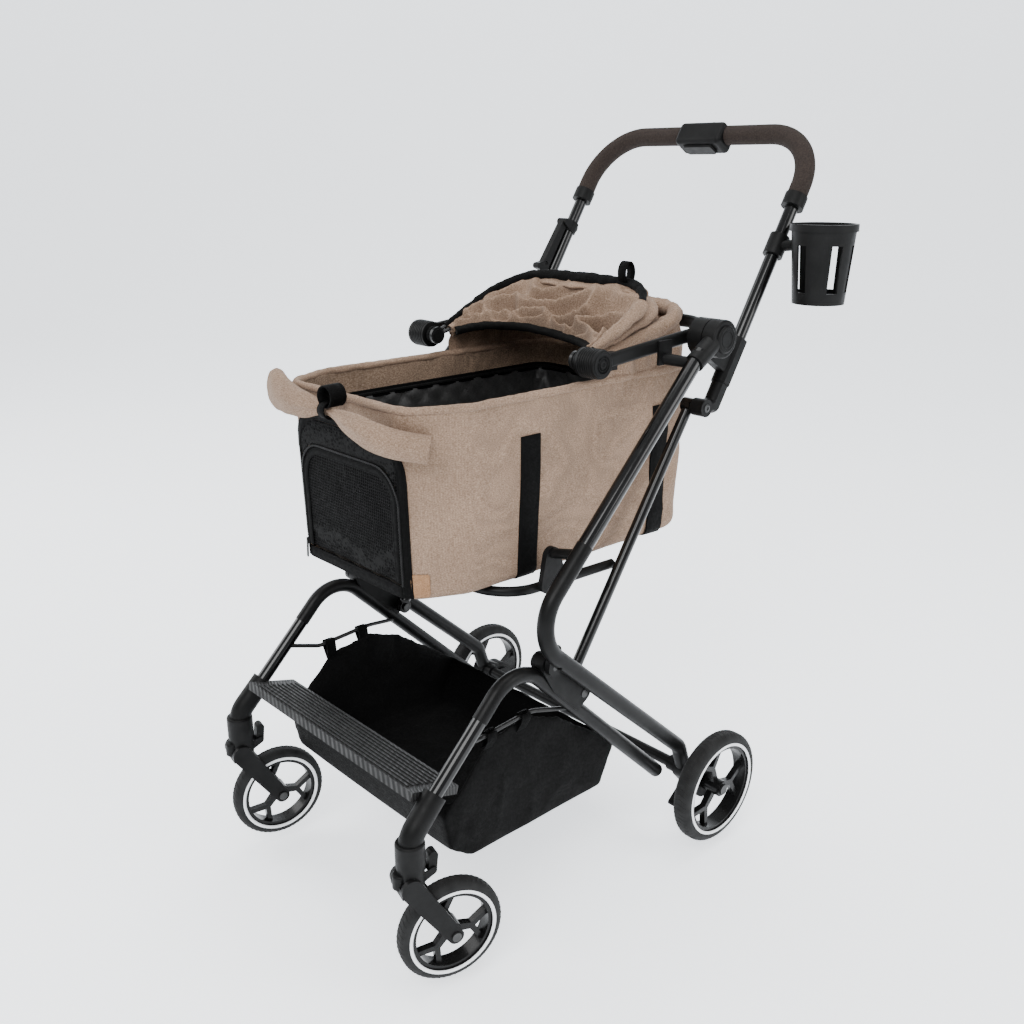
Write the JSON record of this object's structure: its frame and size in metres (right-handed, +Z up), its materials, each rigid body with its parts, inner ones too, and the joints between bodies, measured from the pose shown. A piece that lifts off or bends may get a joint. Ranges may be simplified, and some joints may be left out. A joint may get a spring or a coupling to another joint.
{
  "type": "pet stroller",
  "caption": "Folding pet stroller: fabric carrier on a scissor tube frame, swivel casters, rear wheels, basket, push handle.",
  "frame": {"origin": "on the floor on the centre plane, between the wheels: caster stems at y = -0.266 m, rear axle at y = +0.290 m", "axes": "+Z up, -Y towards the front (casters), +X towards the cup holder side"},
  "size_m": [0.634, 0.851, 1.0945],
  "materials": {
    "gloss_tube": "gloss",
    "matte_tube": "satin",
    "moulded_plastic": "fine matte texture",
    "soft_plastic": "satin",
    "rim_plastic": "satin",
    "tyre": "matte rubber",
    "steel": "blackened",
    "bow_wire": "satin",
    "grip_foam": "matte foam",
    "beige_fabric": "woven melange",
    "black_fabric": "woven",
    "mesh": "open mesh"
  },
  "bodies": {
    "chassis": {"push_tubes": "gloss_tube", "rear_leg_right": "matte_tube", "rear_leg_left": "matte_tube", "hub_knuckles": "moulded_plastic", "hub_caps": "soft_plastic", "hub_pivots": "steel", "axle_housings": "moulded_plastic", "rear_crossbar": "gloss_tube", "rear_axles": "steel", "seat_frame": "gloss_tube", "canopy_hubs": "moulded_plastic", "under_frame": "gloss_tube", "under_frame_lugs": "moulded_plastic", "carrier_shell": "beige_fabric", "base_board": "moulded_plastic", "floor_cushion": "black_fabric", "front_roll": "beige_fabric", "canopy_fabric": "beige_fabric"},
    "front_frame": {"front_sleeve_right": "moulded_plastic", "front_sleeve_left": "moulded_plastic", "front_legs": "gloss_tube", "arch_leg_right": "matte_tube", "arch_leg_left": "matte_tube", "saddles": "moulded_plastic", "footrest": "moulded_plastic", "basket": "black_fabric", "basket_rails": "bow_wire", "front_pins": "steel"},
    "handle": {"handle_tube": "gloss_tube", "grip_foam": "grip_foam", "grip_collars": "moulded_plastic", "release_housing": "moulded_plastic", "cup_holder": "soft_plastic", "cup_clamp": "moulded_plastic", "hook_mount": "moulded_plastic", "fold_joints": "moulded_plastic", "handle_elbows": "moulded_plastic"},
    "links": {"link_bars": "gloss_tube"},
    "button": {"release_button": "soft_plastic"},
    "trigger": {"squeeze_trigger": "soft_plastic"},
    "hook": {"fold_hook": "moulded_plastic"},
    "door": {"mesh_door": "mesh"},
    "bow_front": {"canopy_bow_front": "bow_wire"},
    "bow_middle": {"canopy_bow_middle": "bow_wire"},
    "caster_right": {"caster_fork_right": "moulded_plastic", "caster_axle_right": "steel"},
    "front_wheel_right": {"front_tyre_right": "tyre", "front_rim_right": "rim_plastic"},
    "lock_right": {"swivel_lock_right": "moulded_plastic"},
    "rear_wheel_right": {"rear_tyre_right": "tyre", "rear_rim_right": "rim_plastic"},
    "brake_right": {"brake_pedal_right": "moulded_plastic"},
    "caster_left": {"caster_fork_left": "moulded_plastic", "caster_axle_left": "steel"},
    "front_wheel_left": {"front_tyre_left": "tyre", "front_rim_left": "rim_plastic"},
    "lock_left": {"swivel_lock_left": "moulded_plastic"},
    "rear_wheel_left": {"rear_tyre_left": "tyre", "rear_rim_left": "rim_plastic"},
    "brake_left": {"brake_pedal_left": "moulded_plastic"}
  },
  "joints": [
    {"name": "handle_fold", "type": "hinge", "parent": "chassis", "child": "handle", "pos_m": [0, 0.281, 0.797], "axis": [1, 0, 0], "range_deg": [0, 50]},
    {"name": "front_fold", "type": "hinge", "parent": "chassis", "child": "front_frame", "pos_m": [0, -0.034, 0.392], "axis": [1, 0, 0], "range_deg": [0, 48.95]},
    {"name": "link_fold", "type": "hinge", "parent": "front_frame", "child": "links", "pos_m": [0, 0.036, 0.325], "axis": [1, 0, 0], "range_deg": [-57.45, 0]},
    {"name": "button_press", "type": "slide", "parent": "handle", "child": "button", "axis": [0, -0.5255, -0.8508], "range_m": [0, 0.0025], "stiffness_N_per_m": 400},
    {"name": "trigger_squeeze", "type": "slide", "parent": "handle", "child": "trigger", "axis": [0, 0.5255, 0.8508], "range_m": [0, 0.005], "stiffness_N_per_m": 500},
    {"name": "hook_swing", "type": "hinge", "parent": "handle", "child": "hook", "pos_m": [-0.216, 0.42766, 0.93427], "axis": [1, 0, 0], "range_deg": [-60, 0]},
    {"name": "door_open", "type": "hinge", "parent": "chassis", "child": "door", "pos_m": [0, -0.187, 0.5125], "axis": [1, 0, 0], "range_deg": [0, 110]},
    {"name": "canopy_front", "type": "hinge", "parent": "chassis", "child": "bow_front", "pos_m": [0, 0.087, 0.778], "axis": [1, 0, 0], "range_deg": [0, 110]},
    {"name": "canopy_middle", "type": "hinge", "parent": "chassis", "child": "bow_middle", "pos_m": [0, 0.087, 0.778], "axis": [1, 0, 0], "range_deg": [0, 55]},
    {"name": "caster_swivel_right", "type": "hinge", "parent": "front_frame", "child": "caster_right", "pos_m": [0.216, -0.266, 0.17], "axis": [0, 0, 1], "continuous": true},
    {"name": "front_wheel_spin_right", "type": "hinge", "parent": "caster_right", "child": "front_wheel_right", "pos_m": [0.22946, -0.21577, 0.073], "axis": [0.9659, -0.2588, 0], "continuous": true},
    {"name": "swivel_lock_right", "type": "hinge", "parent": "caster_right", "child": "lock_right", "pos_m": [0.22312, -0.23944, 0.175], "axis": [0.9659, -0.2588, 0], "range_deg": [-25, 0]},
    {"name": "rear_wheel_spin_right", "type": "hinge", "parent": "chassis", "child": "rear_wheel_right", "pos_m": [0.277, 0.29, 0.09], "axis": [1, 0, 0], "continuous": true},
    {"name": "brake_right", "type": "hinge", "parent": "chassis", "child": "brake_right", "pos_m": [0.241, 0.257, 0.078], "axis": [1, 0, 0], "range_deg": [0, 18]},
    {"name": "caster_swivel_left", "type": "hinge", "parent": "front_frame", "child": "caster_left", "pos_m": [-0.216, -0.266, 0.17], "axis": [0, 0, 1], "continuous": true},
    {"name": "front_wheel_spin_left", "type": "hinge", "parent": "caster_left", "child": "front_wheel_left", "pos_m": [-0.20697, -0.21479, 0.073], "axis": [0.9848, -0.1736, 0], "continuous": true},
    {"name": "swivel_lock_left", "type": "hinge", "parent": "caster_left", "child": "lock_left", "pos_m": [-0.21122, -0.23892, 0.175], "axis": [0.9848, -0.1736, 0], "range_deg": [-25, 0]},
    {"name": "rear_wheel_spin_left", "type": "hinge", "parent": "chassis", "child": "rear_wheel_left", "pos_m": [-0.277, 0.29, 0.09], "axis": [1, 0, 0], "continuous": true},
    {"name": "brake_left", "type": "hinge", "parent": "chassis", "child": "brake_left", "pos_m": [-0.241, 0.257, 0.078], "axis": [1, 0, 0], "range_deg": [0, 18]}
  ],
  "couplings": [
    {"joint": "front_fold", "follows": "handle_fold", "ratio": 0.978},
    {"joint": "link_fold", "follows": "handle_fold", "ratio": -1.148},
    {"joint": "canopy_middle", "follows": "canopy_front", "ratio": 0.5}
  ]
}
